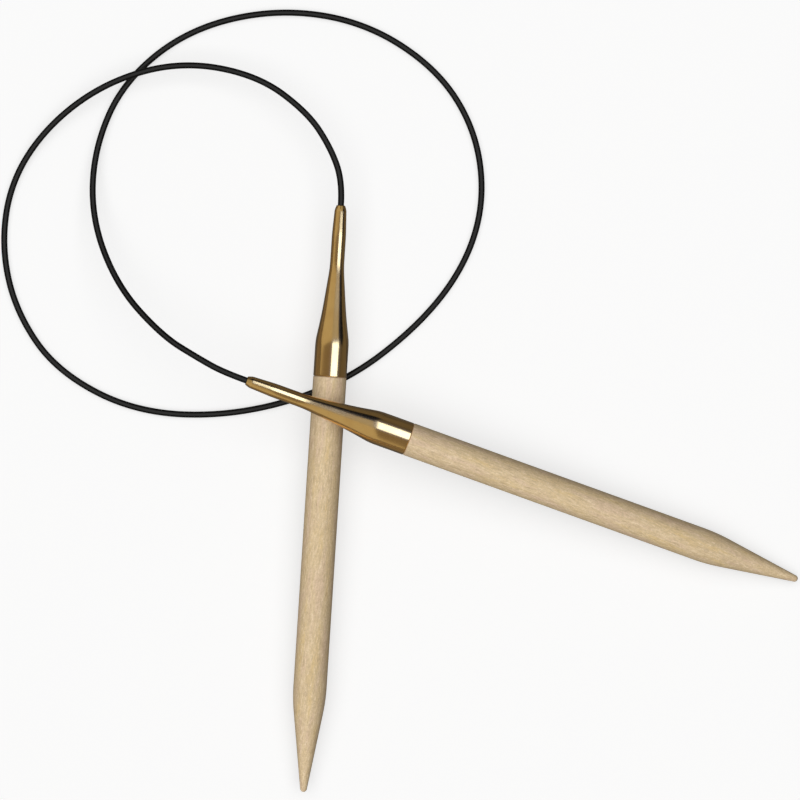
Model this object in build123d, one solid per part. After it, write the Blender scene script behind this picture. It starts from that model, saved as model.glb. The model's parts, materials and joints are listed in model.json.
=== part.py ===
from build123d import *
import os
from math import cos, pi, radians, sin, tan

# Circular knitting needle: two wooden points in brass ferrules, joined by one nylon cord.
# It lies on z = 0 with one needle resting across the other. Millimetres and degrees, +Z up.

# Driving dimensions of one needle, measured from the mouth where the cord comes out
NEEDLE_LENGTH = 141.0
SHAFT_RADIUS = 4.0
FERRULE_LENGTH = 41.0
SHOULDER_ROUNDING = 44.0
POINT_HALF_ANGLE = 8.4
TIP_RADIUS = 0.82

# Outside of the ferrule
NOSE_RADIUS = 1.03
NOSE_ROUNDING = 0.22
LIP_RADIUS = 1.42
LIP_END = 1.15
LIP_ROUNDING = 2.6
NECK_RADIUS = 1.69
NECK_START = 7.0
NECK_END = 15.0
FLARE_RADIUS = 2.95
FLARE_MIDDLE = 26.3
FLARE_END = 32.5
NECK_ROUNDING = 40.0
FLARE_ONSET_ROUNDING = 35.0
FLARE_MIDDLE_ROUNDING = 110.0
FLARE_END_ROUNDING = 16.0
RIM_ROUNDING = 0.2

# Inside of the ferrule
CORD_RADIUS = 0.75
NECK_BORE_RADIUS = 0.80
NECK_BORE_ROUNDING = 0.06
CHAMBER_START = 9.0
CHAMBER_RADIUS = 1.10
SOCKET_START = 32.2
SOCKET_RADIUS = 3.25

# Wooden point
TENON_START = 32.6
TENON_RADIUS = 3.20
TENON_CHAMFER = 0.40
JOINT_ROUNDING = 0.35

# Crimped stop on the end of the cord
STOP_LENGTH = 3.0
STOP_RADIUS = 1.05
STOP_CHAMFER = 0.15
CORD_END_BEYOND_STOP = 1.0

# Where the needles lie: mouth position on the table, heading of the tip, fall towards the tip
NEEDLE_A_MOUTH = (-43.59, 70.293)
NEEDLE_A_HEADING = -93.7
NEEDLE_A_FALL = 1.6
NEEDLE_B_MOUTH = (-65.867, 28.383)
NEEDLE_B_HEADING = -19.9
NEEDLE_B_FALL = 5.15

# The cord bends at a pivot just outside each mouth, and leaves it straight for a short lead
PIVOT_OFFSET = 0.80
LEAD = 5.0

# Corners of the cord's route, between the leads out of needle A and needle B
CORD_ROUTE = [
    (-45.5, 84.0, 7.3),
    (-51.5, 92.5, 6.8),
    (-63.5, 101.5, 5.7),
    (-81.5, 105.0, 4.4),
    (-99.0, 100.5, 4.4),
    (-113.5, 90.5, 2.4),
    (-122.5, 77.0, 0.75),
    (-125.0, 61.0, 0.75),
    (-122.0, 45.5, 0.75),
    (-111.5, 30.5, 0.75),
    (-92.5, 20.5, 0.75),
    (-68.0, 20.0, 0.75),
    (-43.5, 27.5, 0.75),
    (-24.5, 41.0, 0.75),
    (-13.0, 56.0, 0.75),
    (-8.5, 72.5, 0.75),
    (-11.0, 89.5, 0.75),
    (-21.0, 104.5, 0.75),
    (-38.5, 115.0, 0.75),
    (-59.5, 118.0, 0.75),
    (-80.5, 112.5, 0.75),
    (-95.5, 100.0, 0.75),
    (-102.5, 84.5, 1.5),
    (-102.5, 67.5, 4.6),
    (-96.5, 51.5, 9.0),
    (-85.5, 39.5, 12.8),
    (-77.0, 33.5, 14.8),
]
ARC_SHARE_OF_RUN = 0.45


def closed_revolve(*edges):
    """Turn a closed outline in the XZ plane about the needle's axis, which is local Z."""
    return revolve(make_face(edges), Axis.Z)


def outline(points, radii):
    """Outline of straight stretches through (radius, distance) points, with rounded corners."""
    return FilletPolyline(*[(r, 0, s) for r, s in points], radius=radii)


def ferrule():
    """Hollow turned brass ferrule: round nose, slim neck, flare, and a cup for the wood."""
    skin = outline(
        [
            (NECK_BORE_RADIUS, CHAMBER_START),
            (NECK_BORE_RADIUS, 0),
            (NOSE_RADIUS, 0),
            (LIP_RADIUS, LIP_END),
            (NECK_RADIUS, NECK_START),
            (NECK_RADIUS, NECK_END),
            (FLARE_RADIUS, FLARE_MIDDLE),
            (SHAFT_RADIUS, FLARE_END),
            (SHAFT_RADIUS, FERRULE_LENGTH),
            (SOCKET_RADIUS, FERRULE_LENGTH),
        ],
        [
            NECK_BORE_ROUNDING,
            NOSE_ROUNDING,
            LIP_ROUNDING,
            NECK_ROUNDING,
            FLARE_ONSET_ROUNDING,
            FLARE_MIDDLE_ROUNDING,
            FLARE_END_ROUNDING,
            RIM_ROUNDING,
        ],
    )
    cup = Polyline(
        (SOCKET_RADIUS, 0, FERRULE_LENGTH),
        (SOCKET_RADIUS, 0, SOCKET_START),
        (CHAMBER_RADIUS, 0, SOCKET_START),
        (CHAMBER_RADIUS, 0, CHAMBER_START),
        (NECK_BORE_RADIUS, 0, CHAMBER_START),
    )
    return closed_revolve(skin, cup)


def on_tip(angle):
    """Point of the tip's sphere at an angle above its widest section."""
    centre = NEEDLE_LENGTH - TIP_RADIUS
    return (TIP_RADIUS * cos(radians(angle)), 0, centre + TIP_RADIUS * sin(radians(angle)))


def shaft():
    """Wooden point: tenon for the ferrule, straight shaft, soft shoulder, long cone, round tip."""
    cone_top = on_tip(POINT_HALF_ANGLE)
    cone_start = cone_top[2] - (SHAFT_RADIUS - cone_top[0]) / tan(radians(POINT_HALF_ANGLE))
    side = outline(
        [
            (0, TENON_START),
            (TENON_RADIUS - TENON_CHAMFER, TENON_START),
            (TENON_RADIUS, TENON_START + TENON_CHAMFER),
            (TENON_RADIUS, FERRULE_LENGTH),
            (SHAFT_RADIUS, FERRULE_LENGTH),
            (SHAFT_RADIUS, cone_start),
            (cone_top[0], cone_top[2]),
        ],
        [0, 0, 0, JOINT_ROUNDING, SHOULDER_ROUNDING],
    )
    tip = ThreePointArc(cone_top, on_tip((POINT_HALF_ANGLE + 90) / 2), (0, 0, NEEDLE_LENGTH))
    middle = Line((0, 0, NEEDLE_LENGTH), (0, 0, TENON_START))
    return closed_revolve(side, tip, middle)


def cord_end():
    """End of the cord inside the ferrule, from the lip to just past its stop."""
    length = CHAMBER_START + STOP_LENGTH + CORD_END_BEYOND_STOP
    return extrude(Circle(CORD_RADIUS), length)


def cord_stop():
    """Crimped sleeve on the cord's end, which pulls up against the chamber's shoulder."""
    ring = Circle(STOP_RADIUS) - Circle(CORD_RADIUS)
    sleeve = Pos(0, 0, CHAMBER_START) * extrude(ring, STOP_LENGTH)
    rims = sleeve.edges().filter_by(GeomType.CIRCLE).filter_by(lambda e: e.radius > CORD_RADIUS + 0.1)
    return chamfer(rims, STOP_CHAMFER)


def tip_direction(heading, fall):
    """Unit vector along a needle, from its mouth to its tip."""
    level = cos(radians(fall))
    return Vector(level * cos(radians(heading)), level * sin(radians(heading)), -sin(radians(fall)))


def mouth_height(fall):
    """Height of the mouth when the soft shoulder of the point touches z = 0."""
    tangent = SHOULDER_ROUNDING * tan(radians(POINT_HALF_ANGLE) / 2)
    cone_top = on_tip(POINT_HALF_ANGLE)
    cone_start = cone_top[2] - (SHAFT_RADIUS - cone_top[0]) / tan(radians(POINT_HALF_ANGLE))
    straight_end = cone_start - tangent
    tilt = radians(fall)
    axis_height = SHAFT_RADIUS * cos(tilt) + SHOULDER_ROUNDING * (1 - cos(tilt))
    return axis_height + straight_end * sin(tilt)


def needle_plane(mouth, heading, fall):
    """Plane at a needle's mouth, with its Z along the needle towards the tip."""
    origin = Vector(mouth[0], mouth[1], mouth_height(fall))
    return Plane(origin=origin, x_dir=(0, 0, 1), z_dir=tip_direction(heading, fall))


def corner_radius(before, corner, after):
    """Largest gentle arc that the two runs at a corner leave room for."""
    run_in = corner - before
    run_out = after - corner
    half_turn = radians(run_in.get_angle(run_out)) / 2
    return ARC_SHARE_OF_RUN * min(run_in.length, run_out.length) / tan(half_turn)


def route_points(plane_a, plane_b):
    """The cord's whole route: pivot and lead of needle A, the corners, lead and pivot of B."""
    ends = []
    for plane in (plane_a, plane_b):
        pivot = plane.origin - plane.z_dir * PIVOT_OFFSET
        ends.append((pivot, pivot - plane.z_dir * LEAD))
    middle = [Vector(*point) for point in CORD_ROUTE]
    return [ends[0][0], ends[0][1], *middle, ends[1][1], ends[1][0]]


def ball_end(point, outward):
    """Half ball that closes the free cord at a pivot."""
    half = Sphere(CORD_RADIUS, arc_size1=0)
    return Plane(origin=point, z_dir=outward) * half


def cord(points):
    """Free cord between the needles: one round tube along the route, with ball ends."""
    radii = [corner_radius(*points[i - 1:i + 2]) for i in range(1, len(points) - 1)]
    path = FilletPolyline(*points, radius=radii)
    start = Plane(origin=points[0], z_dir=points[1] - points[0])
    tube = sweep(start * Circle(CORD_RADIUS), path=path)
    section = pi * CORD_RADIUS ** 2
    print("cord corner radii", [round(radius, 1) for radius in radii])
    print("cord turns", [round(turn(points, i), 1) for i in range(1, len(points) - 1)])
    print("cord runs", [round((b - a).length, 1) for a, b in zip(points, points[1:])])
    print("cord length", round(path.length, 2), "volume over section", round(tube.volume / section, 2))
    first = ball_end(points[0], points[0] - points[1])
    last = ball_end(points[-1], points[-1] - points[-2])
    return tube + first + last


def turn(points, i):
    """Degrees that the route turns at a corner."""
    return (points[i] - points[i - 1]).get_angle(points[i + 1] - points[i])


def save(shape, name):
    """Write one node's STEP file."""
    shape.label = name
    export_step(shape, f"parts/{name}.step")


os.makedirs("parts", exist_ok=True)
plane_a = needle_plane(NEEDLE_A_MOUTH, NEEDLE_A_HEADING, NEEDLE_A_FALL)
plane_b = needle_plane(NEEDLE_B_MOUTH, NEEDLE_B_HEADING, NEEDLE_B_FALL)

for side, plane in (("a", plane_a), ("b", plane_b)):
    save(plane * shaft(), f"needle_{side}_shaft")
    save(plane * ferrule(), f"needle_{side}_ferrule")
    save(plane * cord_end(), f"needle_{side}_cord_end")
    save(plane * cord_stop(), f"needle_{side}_cord_stop")
    tip = plane.origin + plane.z_dir * NEEDLE_LENGTH
    pivot = plane.origin - plane.z_dir * PIVOT_OFFSET
    print("needle", side, "mouth", plane.origin, "tip", tip, "pivot", pivot, "along", plane.z_dir)

save(cord(route_points(plane_a, plane_b)), "cord")
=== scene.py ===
# %% [markdown]
# # A circular knitting needle
# Two turned wooden points sit in slim brass ferrules, and one long nylon cord joins them.
# The packed frame already holds every part at its place. Here each part gets the surface that
# a close look deserves: lathe-smooth shapes, a cord on one flowing line, and real finishes.

# %% Load the frame
import json
import math

import bpy
from mathutils import Matrix, Vector


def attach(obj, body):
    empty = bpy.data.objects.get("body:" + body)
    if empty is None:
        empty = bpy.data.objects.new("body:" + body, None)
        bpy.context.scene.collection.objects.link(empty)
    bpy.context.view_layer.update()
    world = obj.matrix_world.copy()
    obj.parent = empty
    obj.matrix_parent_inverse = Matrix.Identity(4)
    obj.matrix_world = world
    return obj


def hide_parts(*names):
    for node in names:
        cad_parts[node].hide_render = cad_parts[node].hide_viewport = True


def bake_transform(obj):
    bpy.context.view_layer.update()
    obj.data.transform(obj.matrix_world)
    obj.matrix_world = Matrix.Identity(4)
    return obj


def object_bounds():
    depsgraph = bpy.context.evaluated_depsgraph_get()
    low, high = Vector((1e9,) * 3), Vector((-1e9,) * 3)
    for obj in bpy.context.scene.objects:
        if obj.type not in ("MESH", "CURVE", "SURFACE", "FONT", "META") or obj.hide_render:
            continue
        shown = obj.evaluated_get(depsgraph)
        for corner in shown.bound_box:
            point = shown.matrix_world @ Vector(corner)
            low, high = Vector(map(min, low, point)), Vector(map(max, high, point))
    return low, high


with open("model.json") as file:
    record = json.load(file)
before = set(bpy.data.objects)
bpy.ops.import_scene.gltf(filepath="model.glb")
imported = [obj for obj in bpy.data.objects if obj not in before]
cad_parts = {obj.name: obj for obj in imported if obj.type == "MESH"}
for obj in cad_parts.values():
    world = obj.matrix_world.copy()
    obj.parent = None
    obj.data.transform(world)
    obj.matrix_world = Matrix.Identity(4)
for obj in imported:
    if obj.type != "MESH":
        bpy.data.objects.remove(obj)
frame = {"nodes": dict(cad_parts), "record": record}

MM = 0.001
scene = bpy.context.scene
cad_low, cad_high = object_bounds()
print("the CAD parts fill", [round(side / MM, 1) for side in cad_high - cad_low], "mm")

# %% [markdown]
# ## Where the needles are
# A needle is a straight turned piece, so all of its shapes hang on one axis. The frame's record
# has both ends of that axis: the hinge just outside the mouth, and the mount at the very tip.
# From those two points we make a matrix whose local Z runs from the mouth to the tip, and every
# turned shape can then be drawn upright at the origin and simply carried over.

# %% Needle axes
PIVOT_OFFSET = 0.8 * MM
SIDES = ("a", "b")


def needle_matrix(side):
    """Matrix from upright needle space (mouth at the origin, tip up) to the frame."""
    record = frame["record"]
    hinges = record["behaviour"]["joints"]
    hinge = next(j for j in hinges if j["name"] == f"needle_{side}_swing")
    mount = next(m for m in record["mounts"] if m["name"] == f"needle_{side}_point")
    pivot = Vector(hinge["pos_m"])
    along = (Vector(mount["pos_m"]) - pivot).normalized()
    across = Vector((0, 0, 1)).cross(along).normalized()
    up = along.cross(across)
    turn = Matrix((across, up, along)).transposed()
    return Matrix.Translation(pivot + along * PIVOT_OFFSET) @ turn.to_4x4()


NEEDLE = {side: needle_matrix(side) for side in SIDES}
for side in SIDES:
    print("needle", side, "mouth at", [round(x / MM, 2) for x in NEEDLE[side].translation], "mm")

# %% [markdown]
# ## The camera
# The needle is seen from straight above, as in a flat lay. A long lens from nearly a metre away
# keeps the two needles free of perspective, and the object's own box sets the centre.

# %% Camera
CAMERA_HEIGHT = 0.9
VIEW_WIDTH = 0.192
VIEW_LEVEL = 0.004
SENSOR_MM = 36.0
FARTHEST_SEEN = 20

camera_data = bpy.data.cameras.new("flat_lay_camera")
camera_data.sensor_width = SENSOR_MM
camera_data.lens = SENSOR_MM * (CAMERA_HEIGHT - VIEW_LEVEL) / VIEW_WIDTH
camera_data.clip_end = FARTHEST_SEEN
camera = bpy.data.objects.new("flat_lay_camera", camera_data)
middle = (cad_low + cad_high) / 2
camera.location = (middle.x, middle.y, CAMERA_HEIGHT)
scene.collection.objects.link(camera)
scene.camera = camera
print("lens", round(camera_data.lens, 1), "mm")

# %% [markdown]
# ## The cord's line
# The cord is nylon, 1.5 mm thick, and springy: it never kinks, so its line has to be smooth.
# One way is a chain of arcs, but the eye finds the place where each arc ends. A NURBS spline
# of order 3 has no such places: it is pulled towards a few given points and glides past
# them. It starts at needle A's mouth, makes one loop low on the left, runs under both needles,
# makes a second loop on the right, and climbs again to needle B's mouth.

# %% Points that pull the cord
CORD_DIAMETER = 1.5 * MM
ON_TABLE = CORD_DIAMETER / 2
LEAD = 5.8 * MM
# East, north and height of each point, in metres.
CORD_POINTS = [
    (-0.0460, 0.0840, 0.0073),
    (-0.0515, 0.0925, 0.0068),
    (-0.0635, 0.1015, 0.0057),
    (-0.0815, 0.1050, 0.0044),
    (-0.0990, 0.1005, 0.0044),
    (-0.1135, 0.0905, 0.0024),
    (-0.1230, 0.0770, ON_TABLE),
    (-0.1255, 0.0610, ON_TABLE),
    (-0.1220, 0.0450, ON_TABLE),
    (-0.1120, 0.0305, ON_TABLE),
    (-0.0925, 0.0205, ON_TABLE),
    (-0.0680, 0.0200, ON_TABLE),
    (-0.0435, 0.0275, ON_TABLE),
    (-0.0250, 0.0415, ON_TABLE),
    (-0.0135, 0.0565, ON_TABLE),
    (-0.0090, 0.0725, ON_TABLE),
    (-0.0115, 0.0895, ON_TABLE),
    (-0.0210, 0.1040, ON_TABLE),
    (-0.0385, 0.1150, ON_TABLE),
    (-0.0595, 0.1180, ON_TABLE),
    (-0.0805, 0.1130, ON_TABLE),
    (-0.0960, 0.1005, ON_TABLE),
    (-0.1030, 0.0845, 0.0015),
    (-0.1035, 0.0675, 0.0046),
    (-0.0970, 0.0510, 0.0090),
    (-0.0860, 0.0390, 0.0128),
    (-0.0770, 0.0335, 0.0148),
]


def on_axis(side, distance):
    """Point on a needle's axis, at a distance from the mouth towards the tip."""
    return NEEDLE[side] @ Vector((0, 0, distance))


cord_points = [on_axis("a", 0), on_axis("a", -LEAD), *map(Vector, CORD_POINTS)]
cord_points += [on_axis("b", -LEAD), on_axis("b", 0)]
print(len(cord_points), "points pull the cord")

# %% Line through the points
LINE_ORDER = 3
STEPS_PER_POINT = 20


def smooth_line(points, steps):
    """Points along a NURBS spline that is pulled towards the given points."""
    curve = bpy.data.curves.new("cord_line", "CURVE")
    curve.dimensions = "3D"
    curve.resolution_u = steps
    spline = curve.splines.new("NURBS")
    spline.points.add(len(points) - 1)
    for knot, point in zip(spline.points, points):
        knot.co = (*point, 1)
    spline.order_u = LINE_ORDER
    spline.use_endpoint_u = True
    helper = bpy.data.objects.new("cord_line", curve)
    scene.collection.objects.link(helper)
    mesh = bpy.data.meshes.new_from_object(helper)
    line = [vertex.co.copy() for vertex in mesh.vertices]
    bpy.data.objects.remove(helper)
    bpy.data.curves.remove(curve)
    bpy.data.meshes.remove(mesh)
    return line


def lengths_along(line):
    """Distance from the first point to each point of a line."""
    total = [0.0]
    for before, after in zip(line, line[1:]):
        total.append(total[-1] + (after - before).length)
    return total


cord_line = smooth_line(cord_points, STEPS_PER_POINT)
cord_run = lengths_along(cord_line)
CORD_LENGTH = cord_run[-1]
print("free cord", round(CORD_LENGTH / MM, 1), "mm in", len(cord_line), "points")

# %% [markdown]
# ## From line to tube
# A curve with a bevel would give one tube, but this cord has to bend at both ends when a needle
# swings. So the tube is made ring by ring, and cut into three pieces that share their end rings:
# the long loops, and a short stretch at each mouth. Each ring is carried along from the one
# before it with the smallest turn, so that the tube never twists.

# %% Rings round a line
RING_SIDES = 24


def out_of_round(radius, sides):
    """How far the flats of a many-sided ring fall inside the true round, in micrometres."""
    return round(radius * (1 - math.cos(math.pi / sides)) / MM * 1000, 1)


def carried_rings(line, radius):
    """Rings of points round a line, each turned as little as possible from the last."""
    rings = []
    last = len(line) - 1
    side = None
    for i, centre in enumerate(line):
        ahead = (line[min(i + 1, last)] - line[max(i - 1, 0)]).normalized()
        if side is None:
            side = ahead.orthogonal()
        side = (side - ahead * side.dot(ahead)).normalized()
        other = ahead.cross(side)
        ring = []
        for k in range(RING_SIDES):
            angle = math.tau * k / RING_SIDES
            ring.append(centre + radius * (math.cos(angle) * side + math.sin(angle) * other))
        rings.append(ring)
    return rings


cord_rings = carried_rings(cord_line, CORD_DIAMETER / 2)
print(len(cord_rings), "rings, out of round by", out_of_round(CORD_DIAMETER / 2, RING_SIDES), "um")

# %% Tube through the rings
SHARP_CORNER = math.radians(50)


def new_piece(name, points, faces, carry=Matrix.Identity(4)):
    """Smooth-shaded piece of points and faces, with its hard corners kept sharp."""
    mesh = bpy.data.meshes.new(name)
    mesh.from_pydata(points, [], faces)
    mesh.transform(carry)
    mesh.shade_smooth()
    mesh.set_sharp_from_angle(angle=SHARP_CORNER)
    piece = bpy.data.objects.new(name, mesh)
    scene.collection.objects.link(piece)
    print("made", name, "with", len(faces), "faces")
    return piece


def tube(name, rings):
    """Closed mesh through a run of rings, smooth along its side and flat at its two ends."""
    count = len(rings[0])
    points = [point for ring in rings for point in ring]
    faces = []
    for i in range(len(rings) - 1):
        for k in range(count):
            n = (k + 1) % count
            faces.append((i * count + k, i * count + n, (i + 1) * count + n, (i + 1) * count + k))
    top = (len(rings) - 1) * count
    faces.append(tuple(reversed(range(count))))
    faces.append(tuple(range(top, top + count)))
    return new_piece(name, points, faces)


print("corners over", round(math.degrees(SHARP_CORNER)), "degrees stay sharp")

# %% [markdown]
# ## A cord with a stretch at each end
# The loops lie still on the table, and they stand in for the whole CAD cord. Each end piece is
# a plain stretch of the same tube: it meets the loops where it leaves them and the needle at its
# mouth, and here it keeps its shape. A rigid end would break away from the loops when its needle
# swings. A longer stretch would bend more gently, and needle B swings further, so its stretch is
# longer.

# %% Three pieces of one cord
FLEX_LENGTH = {"a": 50 * MM, "b": 88 * MM}
first_cut = next(i for i, run in enumerate(cord_run) if run >= FLEX_LENGTH["a"])
last_cut = next(i for i, run in enumerate(cord_run) if run >= CORD_LENGTH - FLEX_LENGTH["b"])

cord_a = tube("cord_at_needle_a", cord_rings[: first_cut + 1])
cord_loops = tube("cord_loops", cord_rings[first_cut : last_cut + 1])
cord_b = tube("cord_at_needle_b", cord_rings[last_cut:])
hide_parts("cord")
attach(cord_loops, "cord")
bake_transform(cord_a)
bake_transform(cord_b)

# %% What the cord is
pieces_of_cord = (
    (cord_a, cord_line[: first_cut + 1]),
    (cord_loops, cord_line[first_cut : last_cut + 1]),
    (cord_b, cord_line[last_cut:][::-1]),
)
for piece, line in pieces_of_cord:
    lengths_along(line)[-1]
    print(piece.name, round(lengths_along(line)[-1] / MM, 1), "mm")

# %% [markdown]
# ## Turned shapes
# Wood and brass were both turned on a lathe, so one function serves both: it takes an outline
# of (radius, distance from the mouth) points and spins it. Corners of an outline are rounded by
# an arc of a stated radius, the way a turner's tool leaves them, and the arc is split finely so
# that reflections glide over it without a facet.

# %% Outline with rounded corners
ARC_STEP = math.radians(1.5)


def rounded(points):
    """Outline through (radius, distance, rounding) points, with an arc at each rounded corner."""
    result = []
    for i, (r, s, rounding) in enumerate(points):
        here = Vector((r, s))
        if rounding == 0 or i in (0, len(points) - 1):
            result.append(here)
            continue
        to_last = (Vector(points[i - 1][:2]) - here).normalized()
        to_next = (Vector(points[i + 1][:2]) - here).normalized()
        corner = to_last.angle(to_next)
        turn = math.pi - corner
        centre = here + (to_last + to_next).normalized() * rounding / math.sin(corner / 2)
        start = here + to_last * rounding / math.tan(corner / 2) - centre
        steps = max(2, math.ceil(turn / ARC_STEP))
        sense = 1 if to_last.cross(to_next) < 0 else -1
        for step in range(steps + 1):
            angle = sense * turn * step / steps
            c = math.cos(angle)
            n = math.sin(angle)
            result.append(centre + Vector((start.x * c - start.y * n, start.x * n + start.y * c)))
    return result


def densified(outline, longest):
    """The same outline with no stretch longer than a given length."""
    result = [outline[0]]
    for before, after in zip(outline, outline[1:]):
        parts = max(1, math.ceil((after - before).length / longest))
        result += [before.lerp(after, part / parts) for part in range(1, parts + 1)]
    return result


square_corner = rounded([(0, 0, 0), (1, 0, 0.5), (1, 1, 0)])
print("a rounded square corner takes", len(square_corner), "points")

# %% Lathe
LATHE_SIDES = 128
AXIS_RADIUS = 1e-9


def lathe(name, outline, side, closed):
    """Mesh made by spinning an outline round a needle's axis, placed on that needle."""
    points = []
    starts = []
    for radius, distance in outline:
        starts.append(len(points))
        if radius < AXIS_RADIUS:
            points.append((0, 0, distance))
            continue
        for k in range(LATHE_SIDES):
            angle = math.tau * k / LATHE_SIDES
            points.append((radius * math.cos(angle), radius * math.sin(angle), distance))
    faces = []
    pairs = list(zip(range(len(outline)), range(1, len(outline))))
    if closed:
        pairs.append((len(outline) - 1, 0))
    for lower, upper in pairs:
        one = starts[lower]
        two = starts[upper]
        for k in range(LATHE_SIDES):
            n = (k + 1) % LATHE_SIDES
            if outline[lower][0] < AXIS_RADIUS:
                faces.append((one, two + n, two + k))
            elif outline[upper][0] < AXIS_RADIUS:
                faces.append((one + k, one + n, two))
            else:
                faces.append((one + k, one + n, two + n, two + k))
    return new_piece(name, points, faces, NEEDLE[side])


print("each turned ring has", LATHE_SIDES, "sides")

# %% [markdown]
# ## The wooden points
# Each point is turned from one blank of pale birch: a straight shaft of 8 mm, a soft shoulder, a
# long slim cone and a small blunt tip. Where it meets the brass, its edge is eased by a hair, and
# behind that a tenon reaches into the ferrule. A cylinder and a cone with a bevel would do too,
# but the shoulder's wide rounding is easier to draw as an arc of the outline.

# %% Sizes of a wooden point
SHAFT_RADIUS = 4.0 * MM
FERRULE_LENGTH = 41.0 * MM
NEEDLE_LENGTH = 141.0 * MM
POINT_HALF_ANGLE = math.radians(8.4)
SHOULDER_ROUNDING = 44.0 * MM
TIP_RADIUS = 0.82 * MM
TIP_STEP = math.radians(6)
TENON_START = 32.6 * MM
TENON_RADIUS = 3.2 * MM
TENON_ROUNDING = 0.4 * MM
JOINT_ROUNDING = 0.35 * MM
LONGEST_WOOD_FACE = 2 * MM
wood_shows = round((NEEDLE_LENGTH - FERRULE_LENGTH) / MM, 1)
lathe_error = out_of_round(SHAFT_RADIUS, LATHE_SIDES)
print("wood shows for", wood_shows, "mm, out of round by", lathe_error, "um")


# %% Wooden points
def point_outline():
    """Outline of a wooden point, from the middle of its tenon's face to the tip."""
    centre = NEEDLE_LENGTH - TIP_RADIUS
    cone_top = Vector((math.cos(POINT_HALF_ANGLE), math.sin(POINT_HALF_ANGLE))) * TIP_RADIUS
    cone_top += Vector((0, centre))
    cone_start = cone_top.y - (SHAFT_RADIUS - cone_top.x) / math.tan(POINT_HALF_ANGLE)
    outline = rounded(
        [
            (0, TENON_START, 0),
            (TENON_RADIUS, TENON_START, TENON_ROUNDING),
            (TENON_RADIUS, FERRULE_LENGTH, 0),
            (SHAFT_RADIUS, FERRULE_LENGTH, JOINT_ROUNDING),
            (SHAFT_RADIUS, cone_start, SHOULDER_ROUNDING),
            (cone_top.x, cone_top.y, 0),
        ]
    )
    quarter = math.pi / 2 - POINT_HALF_ANGLE
    steps = math.ceil(quarter / TIP_STEP)
    for step in range(1, steps):
        angle = POINT_HALF_ANGLE + quarter * step / steps
        outline.append(Vector((TIP_RADIUS * math.cos(angle), centre + TIP_RADIUS * math.sin(angle))))
    outline.append(Vector((0, NEEDLE_LENGTH)))
    return densified(outline, LONGEST_WOOD_FACE)


wooden_points = {}
for side in SIDES:
    point = lathe(f"needle_{side}_wooden_point", point_outline(), side, closed=False)
    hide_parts(f"needle_{side}_shaft")
    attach(point, f"needle_{side}")
    wooden_points[side] = point

# %% [markdown]
# ## The brass ferrules
# A ferrule is a hollow turned cup that shrinks from the wood's 8 mm to a neck of 3.4 mm. Its nose
# is round, so that stitches slide over it from the cord. The flare is two cones with soft bends:
# a wide gentle one out of the neck, and a tighter one into the straight cup. A smooth spline could
# draw it too, but cones and arcs leave the crisp turns in the highlight that a tool leaves.

# %% Sizes of a brass ferrule
BORE_RADIUS = 0.8 * MM
CHAMBER_RADIUS = 1.1 * MM
CHAMBER_START = 9.0 * MM
SOCKET_RADIUS = 3.25 * MM
SOCKET_START = 32.2 * MM
NOSE_RADIUS = 1.03 * MM
LIP_RADIUS = 1.42 * MM
LIP_END = 1.15 * MM
NECK_RADIUS = 1.69 * MM
NECK_START = 7.0 * MM
NECK_END = 15.0 * MM
FLARE_RADIUS = 2.95 * MM
FLARE_MIDDLE = 26.3 * MM
CUP_START = 32.5 * MM
LONGEST_BRASS_FACE = 1 * MM

# How wide each corner of the outline is rounded.
BORE_EDGE = 0.06 * MM
NOSE_ROUNDING = 0.22 * MM
LIP_ROUNDING = 2.6 * MM
NECK_START_ROUNDING = 40 * MM
NECK_END_ROUNDING = 35 * MM
FLARE_ROUNDING = 110 * MM
CUP_ROUNDING = 16 * MM
RIM_ROUNDING = 0.2 * MM
print("the cup's wall is", round((SHAFT_RADIUS - SOCKET_RADIUS) / MM, 2), "mm thick")


# %% Brass ferrules
def ferrule_outline():
    """Closed outline of the ferrule's wall: outside from lip to rim, then back along the inside."""
    outline = rounded(
        [
            (BORE_RADIUS, CHAMBER_START, 0),
            (BORE_RADIUS, 0, BORE_EDGE),
            (NOSE_RADIUS, 0, NOSE_ROUNDING),
            (LIP_RADIUS, LIP_END, LIP_ROUNDING),
            (NECK_RADIUS, NECK_START, NECK_START_ROUNDING),
            (NECK_RADIUS, NECK_END, NECK_END_ROUNDING),
            (FLARE_RADIUS, FLARE_MIDDLE, FLARE_ROUNDING),
            (SHAFT_RADIUS, CUP_START, CUP_ROUNDING),
            (SHAFT_RADIUS, FERRULE_LENGTH, RIM_ROUNDING),
            (SOCKET_RADIUS, FERRULE_LENGTH, 0),
            (SOCKET_RADIUS, SOCKET_START, 0),
            (CHAMBER_RADIUS, SOCKET_START, 0),
            (CHAMBER_RADIUS, CHAMBER_START, 0),
        ]
    )
    return densified(outline, LONGEST_BRASS_FACE)


brass_ferrules = {}
for side in SIDES:
    ferrule = lathe(f"needle_{side}_brass_ferrule", ferrule_outline(), side, closed=True)
    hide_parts(f"needle_{side}_ferrule")
    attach(ferrule, f"needle_{side}")
    brass_ferrules[side] = ferrule

# %% [markdown]
# ## Shader sums as Python
# A finish is mostly arithmetic on patterns. `Wire` wraps one socket and lets `+`, `-` and `*` add
# the Math nodes, so a mask reads like a formula. `Finish` owns one material and has a single
# method, `node`, for everything that isn't plain arithmetic.


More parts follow.
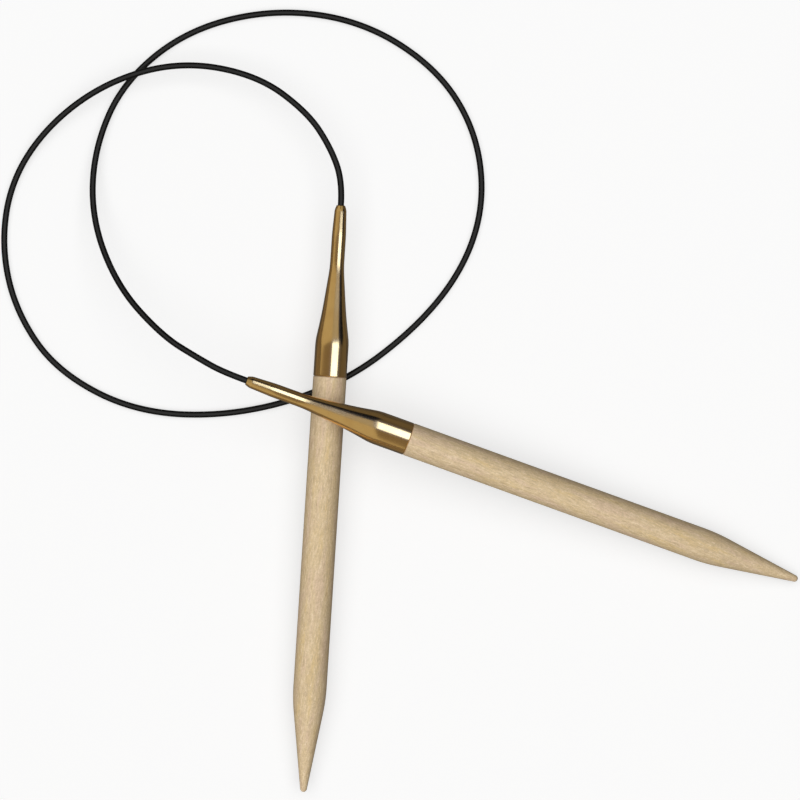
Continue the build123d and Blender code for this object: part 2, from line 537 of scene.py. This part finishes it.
# %% A socket that can be summed
class Wire:
    """One socket of a node tree, usable in Python arithmetic."""

    def __init__(self, finish, socket):
        self.finish = finish
        self.socket = socket

    def maths(self, operation, *values):
        return self.finish.node("ShaderNodeMath", {"operation": operation}, dict(enumerate(values)))

    def __add__(self, other):
        return self.maths("ADD", self, other)

    def __sub__(self, other):
        return self.maths("SUBTRACT", self, other)

    def __rsub__(self, other):
        return self.maths("SUBTRACT", other, self)

    def __mul__(self, other):
        return self.maths("MULTIPLY", self, other)

    __radd__ = __add__
    __rmul__ = __mul__

    def between(self, low, high):
        """0 at low, 1 at high, and a soft step from one to the other."""
        settings = {"interpolation_type": "SMOOTHSTEP"}
        values = {"Value": self, "From Min": low, "From Max": high}
        return self.finish.node("ShaderNodeMapRange", settings, values)


print("a socket can now be added, subtracted and multiplied")


# %% A material that can be painted on
class Finish:
    """One material and its nodes."""

    def __init__(self, name):
        self.material = bpy.data.materials.new(name)
        self.material.use_nodes = True
        self.tree = self.material.node_tree
        self.surface = self.tree.nodes["Principled BSDF"]

    def node(self, kind, settings=None, values=None, output=0):
        """Add a node: its settings first, then the values or links of its sockets."""
        made = self.tree.nodes.new(kind)
        for name, value in (settings or {}).items():
            setattr(made, name, value)
        for name, value in (values or {}).items():
            self.feed(made.inputs[name], value)
        return Wire(self, made.outputs[output])

    def feed(self, socket, value):
        """Link a wire to a socket, or set the socket's own value."""
        if isinstance(value, Wire):
            self.tree.links.new(value.socket, socket)
        else:
            socket.default_value = value

    def mix(self, share, one, two):
        """Colour that goes from one to two as share goes from 0 to 1."""
        # A Mix node keeps its colours in inputs 6 and 7, and the mixed colour in output 2.
        settings = {"data_type": "RGBA"}
        return self.node("ShaderNodeMix", settings, {0: share, 6: one, 7: two}, output=2)

    def place(self):
        """Where a point lies on its own object."""
        return self.node("ShaderNodeTexCoord", output="Object")

    def noise(self, place, scale, detail=2.0, roughness=0.5):
        """Grey noise at a place, from 0 to 1."""
        values = {"Vector": place, "Scale": scale, "Detail": detail, "Roughness": roughness}
        return self.node("ShaderNodeTexNoise", None, values)

    def set(self, **values):
        """Feed the surface shader's sockets; underscores in a name stand for spaces."""
        for name, value in values.items():
            self.feed(self.surface.inputs[name.replace("_", " ")], value)

    def bump(self, height, distance, strength):
        """Let a grey pattern raise the surface by a distance."""
        values = {"Height": height, "Distance": distance, "Strength": strength}
        self.set(Normal=self.node("ShaderNodeBump", None, values))


print("a finish knows", [name for name in vars(Finish) if not name.startswith("_")])


# %% Paint
def paint(piece, finish):
    """Give a piece one material in every slot."""
    piece.data.materials.clear()
    piece.data.materials.append(finish.material)
    print(piece.name, "gets", finish.material.name, "with", len(finish.tree.nodes), "nodes")


# %% [markdown]
# ## Patterns that follow the lathe
# Grain and polishing lines belong to the blank, not to the room, so their pattern has to turn with
# the needle. A UV map would do it, but the cone pinches it at the tip. Here the object's own
# coordinates are turned upright instead, with a Mapping node, and squeezed along the needle.


# %% Coordinates along a needle
def upright(finish, side, slant=0.0):
    """Object coordinates turned so that Z runs along a needle, leaning by a slant."""
    lean = Matrix.Rotation(slant, 3, "Y")
    turned = (lean @ NEEDLE[side].to_3x3().transposed()).to_euler()
    settings = {"operation": "SUBTRACT"}
    values = {0: finish.place(), 1: NEEDLE[side].translation}
    moved = finish.node("ShaderNodeVectorMath", settings, values)
    settings = {"vector_type": "POINT"}
    return finish.node("ShaderNodeMapping", settings, {"Vector": moved, "Rotation": turned})


def squeezed(finish, place, along):
    """The same place, with its distance along the needle multiplied."""
    settings = {"operation": "MULTIPLY"}
    return finish.node("ShaderNodeVectorMath", settings, {0: place, 1: (1, 1, along)})


for side in SIDES:
    fall = math.asin(-NEEDLE[side].to_3x3().col[2].z)
    print("needle", side, "falls by", round(math.degrees(fall), 1), "degrees towards its tip")

# %% [markdown]
# ## Birch
# Unvarnished birch is pale straw with very fine hairs along the grain, and short darker flecks
# where pores were cut open. Both are noise squeezed along the needle, and leaning a few degrees,
# because a blank is never cut quite true to its grain. A blush of honey and of rose in soft
# patches keeps the tone from being even. Each mask is made with `between`, whose two numbers say
# at which grey it starts and at which it is full.

# %% Birch colours
STRAW = (0.590, 0.450, 0.268, 1)
HONEY = (0.610, 0.450, 0.228, 1)
ROSE = (0.590, 0.436, 0.292, 1)
BROWN_BAND = (0.47, 0.35, 0.21, 1)
PALE_HAIR = (0.74, 0.600, 0.410, 1)
DARK_HAIR = (0.40, 0.290, 0.165, 1)
SPECK = (0.42, 0.32, 0.20, 1)
PORE = (0.34, 0.235, 0.14, 1)
print("the darkest fleck is", round(PORE[0] / STRAW[0], 2), "times as bright as the straw")

# %% Birch grain
GRAIN_SLANT = math.radians(4.5)
HAIR_SCALE = 2700
HAIR_SQUEEZE = 0.20
PORE_SCALE = 1500
PORE_SQUEEZE = 0.22
BAND_SCALE = 420
BAND_SQUEEZE = 0.07
BLUSH_SCALE = 600
BLUSH_SQUEEZE = 0.14
SPECK_SCALE = 2600
HAIR_SHARE = 0.75
PORE_SHARE = 0.40
BAND_SHARE = 0.45
SPECK_SHARE = 0.45
GRAIN_HEIGHT = 0.00006
GRAIN_STRENGTH = 0.6
WOOD_ROUGHNESS = 0.50
HAIR_ROUGHNESS = 0.14
WOOD_IOR = 1.45
print("hairs are about", round(1 / HAIR_SQUEEZE), "times as long as they are wide")


# %% Birch finish
def birch(side):
    """Pale wood with hairs, pores, bands and a blush, along one needle."""
    finish = Finish(f"birch_{side}")
    grain = upright(finish, side, GRAIN_SLANT)
    hairs = squeezed(finish, grain, HAIR_SQUEEZE)
    hairs = finish.noise(hairs, HAIR_SCALE, detail=4, roughness=0.85)
    pores = squeezed(finish, grain, PORE_SQUEEZE)
    pores = finish.noise(pores, PORE_SCALE, detail=1).between(0.66, 0.76)
    bands = squeezed(finish, grain, BAND_SQUEEZE)
    bands = finish.noise(bands, BAND_SCALE, detail=3)
    blush = squeezed(finish, grain, BLUSH_SQUEEZE)
    blush = finish.noise(blush, BLUSH_SCALE, detail=3, roughness=0.6)
    specks = finish.noise(grain, SPECK_SCALE, detail=1)
    colour = finish.mix(blush.between(0.30, 0.50), HONEY, STRAW)
    colour = finish.mix(blush.between(0.50, 0.68), colour, ROSE)
    colour = finish.mix(bands.between(0.50, 0.75) * BAND_SHARE, colour, BROWN_BAND)
    colour = finish.mix(hairs.between(0.50, 0.66) * HAIR_SHARE, colour, PALE_HAIR)
    colour = finish.mix(hairs.between(0.50, 0.32) * HAIR_SHARE, colour, DARK_HAIR)
    colour = finish.mix(specks.between(0.45, 0.75) * SPECK_SHARE, colour, SPECK)
    colour = finish.mix(pores * PORE_SHARE, colour, PORE)
    finish.set(Base_Color=colour, Roughness=WOOD_ROUGHNESS + HAIR_ROUGHNESS * hairs, IOR=WOOD_IOR)
    finish.bump(hairs * 0.5 - pores * 0.6 + specks * 0.2, GRAIN_HEIGHT, GRAIN_STRENGTH)
    return finish


for side in SIDES:
    paint(wooden_points[side], birch(side))

# %% [markdown]
# ## Polished brass
# The ferrules are antique-gold brass with a soft polish. A mirror would look like chrome, so the
# roughness is a little above a mirror's, with faint polishing lines round the lathe and a slightly
# warmer, duller tone in broad patches, as handled brass has. A rough clear coat over it adds the
# soft halo beside each gleam.

# %% Brass colours and marks
BRIGHT_BRASS = (0.82, 0.475, 0.12, 1)
WARM_BRASS = (0.73, 0.39, 0.085, 1)
PATCH_SCALE = 220
PATCH_SHARE = 0.5
TURNING_SCALE = 120
TURNING_STRETCH = 30.0
TURNING_HEIGHT = 0.00001
TURNING_STRENGTH = 0.10
BRASS_ROUGHNESS = 0.15
PATCH_ROUGHNESS = 0.06
HALO_ROUGHNESS = 0.30
LINE_STEP = 1 / (TURNING_SCALE * TURNING_STRETCH)
print("polishing lines repeat about every", round(LINE_STEP / MM, 2), "mm")


# %% Brass finish
def polished_brass(side):
    """Softly polished brass with faint lines round one needle."""
    finish = Finish(f"polished_brass_{side}")
    place = upright(finish, side)
    patches = finish.noise(place, PATCH_SCALE, detail=3)
    turning = finish.noise(squeezed(finish, place, TURNING_STRETCH), TURNING_SCALE)
    colour = finish.mix(patches.between(0.35, 0.7) * PATCH_SHARE, BRIGHT_BRASS, WARM_BRASS)
    finish.set(Base_Color=colour, Metallic=1.0)
    finish.set(Roughness=BRASS_ROUGHNESS + PATCH_ROUGHNESS * patches)
    finish.set(Coat_Weight=1.0, Coat_Roughness=HALO_ROUGHNESS)
    finish.bump(turning, TURNING_HEIGHT, TURNING_STRENGTH)
    return finish


for side in SIDES:
    paint(brass_ferrules[side], polished_brass(side))

# %% [markdown]
# ## Black nylon and crimped brass
# The cord is drawn nylon: black all through, smooth but not glossy, with a soft grey gleam along
# its top. Inside each ferrule its end is held by a small crimped sleeve, which has a duller brass.

# %% Nylon finish
NYLON_BLACK = (0.0020, 0.0018, 0.0015, 1)
NYLON_HAZE = (0.0040, 0.0036, 0.0032, 1)
HAZE_SCALE = 300
DRAWN_SCALE = 4000
DRAWN_HEIGHT = 0.00002
DRAWN_STRENGTH = 0.15
NYLON_ROUGHNESS = 0.28
HAZE_ROUGHNESS = 0.08
NYLON_IOR = 1.40


def black_nylon():
    """Black plastic with a faint haze and the slight roughness of drawing."""
    finish = Finish("black_nylon")
    place = finish.place()
    haze = finish.noise(place, HAZE_SCALE, detail=3)
    drawn = finish.noise(place, DRAWN_SCALE)
    colour = finish.mix(haze, NYLON_BLACK, NYLON_HAZE)
    finish.set(Base_Color=colour, Roughness=NYLON_ROUGHNESS + HAZE_ROUGHNESS * haze, IOR=NYLON_IOR)
    finish.bump(drawn, DRAWN_HEIGHT, DRAWN_STRENGTH)
    return finish


nylon = black_nylon()
for piece in (cord_a, cord_loops, cord_b):
    paint(piece, nylon)

# %% Crimped brass, and the pieces inside the ferrules
CRIMP_BRIGHT = (0.60, 0.42, 0.19, 1)
CRIMP_DULL = (0.45, 0.30, 0.12, 1)
WEAR_SCALE = 900
CRIMP_ROUGHNESS = 0.35
WEAR_ROUGHNESS = 0.15


def crimped_brass():
    """Duller brass with the marks of the crimping tool."""
    finish = Finish("crimped_brass")
    wear = finish.noise(finish.place(), WEAR_SCALE, detail=3)
    colour = finish.mix(wear, CRIMP_BRIGHT, CRIMP_DULL)
    finish.set(Base_Color=colour, Metallic=1.0)
    finish.set(Roughness=CRIMP_ROUGHNESS + WEAR_ROUGHNESS * wear)
    return finish


crimp = crimped_brass()
cord_ends = [frame["nodes"][f"needle_{side}_cord_end"] for side in SIDES]
cord_stops = [frame["nodes"][f"needle_{side}_cord_stop"] for side in SIDES]
for end, stop in zip(cord_ends, cord_stops):
    paint(end, nylon)
    paint(stop, crimp)

# %% [markdown]
# ## Floor
# A pale light table under the needles: it glows by itself, which thins the shadows out. It is
# kept out of the mirror-like brass, which would show it as a white edge all round, and it throws
# no light up on the wood, so that the round of every piece stays readable.

# %% Floor
FLOOR_SIZE = 3.0
FLOOR_GREY = (0.62, 0.62, 0.62, 1)
FLOOR_ROUGHNESS = 0.9
FLOOR_GLOW = 0.58
GLOW_WHITE = (1, 1, 1, 1)
SQUARE = ((-1, -1), (1, -1), (1, 1), (-1, 1))


def flat_card(name, width, length):
    """Flat rectangle round the origin, facing up."""
    corners = [(x * width / 2, y * length / 2, 0) for x, y in SQUARE]
    return new_piece(name, corners, [(0, 1, 2, 3)])


floor = flat_card("floor", FLOOR_SIZE, FLOOR_SIZE)
light_table = Finish("light_table")
light_table.set(Base_Color=FLOOR_GREY, Roughness=FLOOR_ROUGHNESS)
light_table.set(Emission_Color=GLOW_WHITE, Emission_Strength=FLOOR_GLOW)
paint(floor, light_table)
floor.visible_glossy = False
floor.visible_diffuse = False

# %% [markdown]
# ## The room
# The room round the table is dim and a little warm. It fills the deepest shades, and it is what
# the brass mirrors where no lamp stands. Much darker, and the brass would look dead from the side.

# %% World
ROOM_TONE = (1.0, 0.98, 0.95, 1)
ROOM_STRENGTH = 0.10

scene.view_settings.view_transform = "Standard"
world = bpy.data.worlds.new("dim_room")
world.use_nodes = True
room = world.node_tree.nodes["Background"].inputs
room["Color"].default_value = ROOM_TONE
room["Strength"].default_value = ROOM_STRENGTH
scene.world = world
print("room light", round(room["Strength"].default_value, 2))

# %% [markdown]
# ## Soft light for wood and nylon
# Wood and nylon are shaped by soft light: one big box from the lower left, a weak one from the
# upper right and a wide one overhead. A sun would be simpler, but its hard shadows break up the
# fine grain. Light linking lets each lamp reach only the pieces that it is meant for. The window
# has a second list, of the pieces that may shade it, so that the brass leaves no dull patch on
# the wood that it crosses.

# %% Soft boxes
WHITE = (1, 1, 1)


def linked_pieces(name, pieces):
    """Collection of the pieces that a lamp may light."""
    group = bpy.data.collections.new(name)
    for piece in pieces:
        group.objects.link(piece)
    return group


def facing(target, away, right):
    """Placement that stands away from the target, looks back at it and has its width to the right."""
    back = away.normalized()
    across = (right - back * right.dot(back)).normalized()
    turn = Matrix((across, back.cross(across), back)).transposed()
    return Matrix.Translation(target + away) @ turn.to_4x4()


def soft_box(name, placement, size, brightness, pieces, gleams=True, lights=True, tint=WHITE):
    """Flat lamp with a width, a length and a brightness, for the pieces that it may light."""
    lamp = bpy.data.lights.new(name, "AREA")
    lamp.shape = "RECTANGLE"
    lamp.size, lamp.size_y = size
    lamp.energy = brightness * math.pi * size[0] * size[1]
    lamp.color = tint
    box = bpy.data.objects.new(name, lamp)
    box.matrix_world = placement
    box.visible_camera = False
    box.visible_glossy = gleams
    box.visible_diffuse = lights
    box.light_linking.receiver_collection = pieces
    scene.collection.objects.link(box)
    print("lamp", name, "of", size, "m gives", round(lamp.energy, 2), "W")
    return box


print("a soft box of 1 m by 1 m takes", round(math.pi, 2), "W for a brightness of 1")

# %% Light for wood and nylon
EAST = Vector((1, 0, 0))
WINDOW_FROM = Vector((-0.50, -0.48, 0.95))
FAR_SIDE_FROM = Vector((0.65, 0.65, 0.8))
CEILING_FROM = Vector((0, 0, 1.6))

table_middle = Vector((middle.x, middle.y, 0))
unpolished = [cord_a, cord_loops, cord_b, *wooden_points.values(), *cord_ends, *cord_stops]
matt = linked_pieces("wood_and_nylon", unpolished)
matt_and_floor = linked_pieces("wood_nylon_and_floor", [*unpolished, floor])
window_place = facing(table_middle, WINDOW_FROM, EAST)
far_side_place = facing(table_middle, FAR_SIDE_FROM, EAST)
ceiling_place = facing(table_middle, CEILING_FROM, EAST)
window = soft_box("window", window_place, (1.2, 1.2), brightness=2.30, pieces=matt, gleams=False)
window.light_linking.blocker_collection = matt_and_floor
soft_box("far_side", far_side_place, (1.0, 1.0), brightness=0.5, pieces=matt, gleams=False)
soft_box("ceiling", ceiling_place, (3.2, 3.2), brightness=0.92, pieces=matt_and_floor)

# %% [markdown]
# ## Mirrored light for the brass
# Polished brass only shows what it mirrors, so each ferrule gets pale shapes of its own to mirror:
# a strip for the white gleam, a wide dim panel beyond the nose for the glow on the flare, a very
# dim wall on the near side and on the far side, and a small one behind for the rim. A cool tint
# turns the gleam white on yellow metal. Each shape is placed by asking where on the round it
# should be seen: the share goes from -1 on one edge of the ferrule to 1 on the other, and the tilt
# leans it towards the nose. Needle B lies a little differently, so its whole set is shifted.

# %% Where polished metal looks
FERRULE_MIDDLE = 25 * MM
SKY = Vector((0, 0, 1))


def mirrored(side, share, tilt):
    """Direction that brass seen from above mirrors, and the direction across the needle."""
    tipward = NEEDLE[side].to_3x3().col[2]
    right = Vector((-tipward.y, tipward.x, 0)).normalized()
    top = right.cross(tipward).normalized()
    top = top if top.z > 0 else -top
    normal = right * share + top * math.sqrt(1 - share * share)
    normal = (normal * math.cos(tilt) - tipward * math.sin(tilt)).normalized()
    return 2 * normal.z * normal - SKY, right


def in_mirror(side, distance, share, tilt):
    """Placement of a shape that a ferrule mirrors at a share of its width."""
    direction, right = mirrored(side, share, tilt)
    return facing(on_axis(side, FERRULE_MIDDLE), direction * distance, right)


for side in SIDES:
    top_mirrors, across = mirrored(side, 0, 0)
    print("the top of ferrule", side, "mirrors", [round(x, 2) for x in top_mirrors])

# %% Light for the brass
LAMP_DISTANCE = 1.0
COLD = (0.55, 0.80, 1.75)
FAIR = (1.00, 1.12, 1.25)
AMBER = (1.10, 0.93, 0.75)
LIE = {"a": 0.0, "b": -0.06}
# Name, share of the width, tilt in degrees, size across and along, brightness, tint.
BRASS_LAMPS = (
    ("gleam", 0.23, 0, (0.84, 0.30), 3.8, COLD),
    ("glow", -0.15, 17, (3.80, 0.93), 0.32, FAIR),
    ("near_wall", -0.50, 0, (3.20, 2.40), 0.10, AMBER),
    ("far_wall", 0.76, 0, (1.40, 0.70), 0.04, WHITE),
    ("rim", 0.0, -22, (1.50, 0.60), 0.6, WHITE),
)
for side in SIDES:
    metal = linked_pieces(f"brass_{side}", [brass_ferrules[side]])
    for name, share, tilt, size, brightness, tint in BRASS_LAMPS:
        lamp_place = in_mirror(side, LAMP_DISTANCE, share + LIE[side], math.radians(tilt))
        soft_box(f"{name}_{side}", lamp_place, size, brightness, metal, lights=False, tint=tint)

# %% [markdown]
# ## Black flags
# Metal looks like metal when something dark lies right beside the bright gleam. A studio uses a
# black card for it, which is called a flag. One stands in front of the lamps of each ferrule and
# makes the thin dark streak on its flare. Only mirror-like surfaces see it, and it shades nothing.

# %% Black flags
FLAG_DISTANCE = 0.9
FLAG_ACROSS = 0.62
FLAG_ALONG = 0.38
FLAG_SHARE = 0.54
FLAG_TILT = math.radians(12)
BLACK = (0, 0, 0, 1)

black_card = Finish("black_card")
black_card.set(Base_Color=BLACK, Roughness=1.0, IOR=1.0)
for side in SIDES:
    flag = flat_card(f"black_flag_{side}", FLAG_ACROSS, FLAG_ALONG)
    flag.matrix_world = in_mirror(side, FLAG_DISTANCE, FLAG_SHARE + LIE[side], FLAG_TILT)
    paint(flag, black_card)
    flag.visible_camera = False
    flag.visible_diffuse = False
    flag.visible_shadow = False
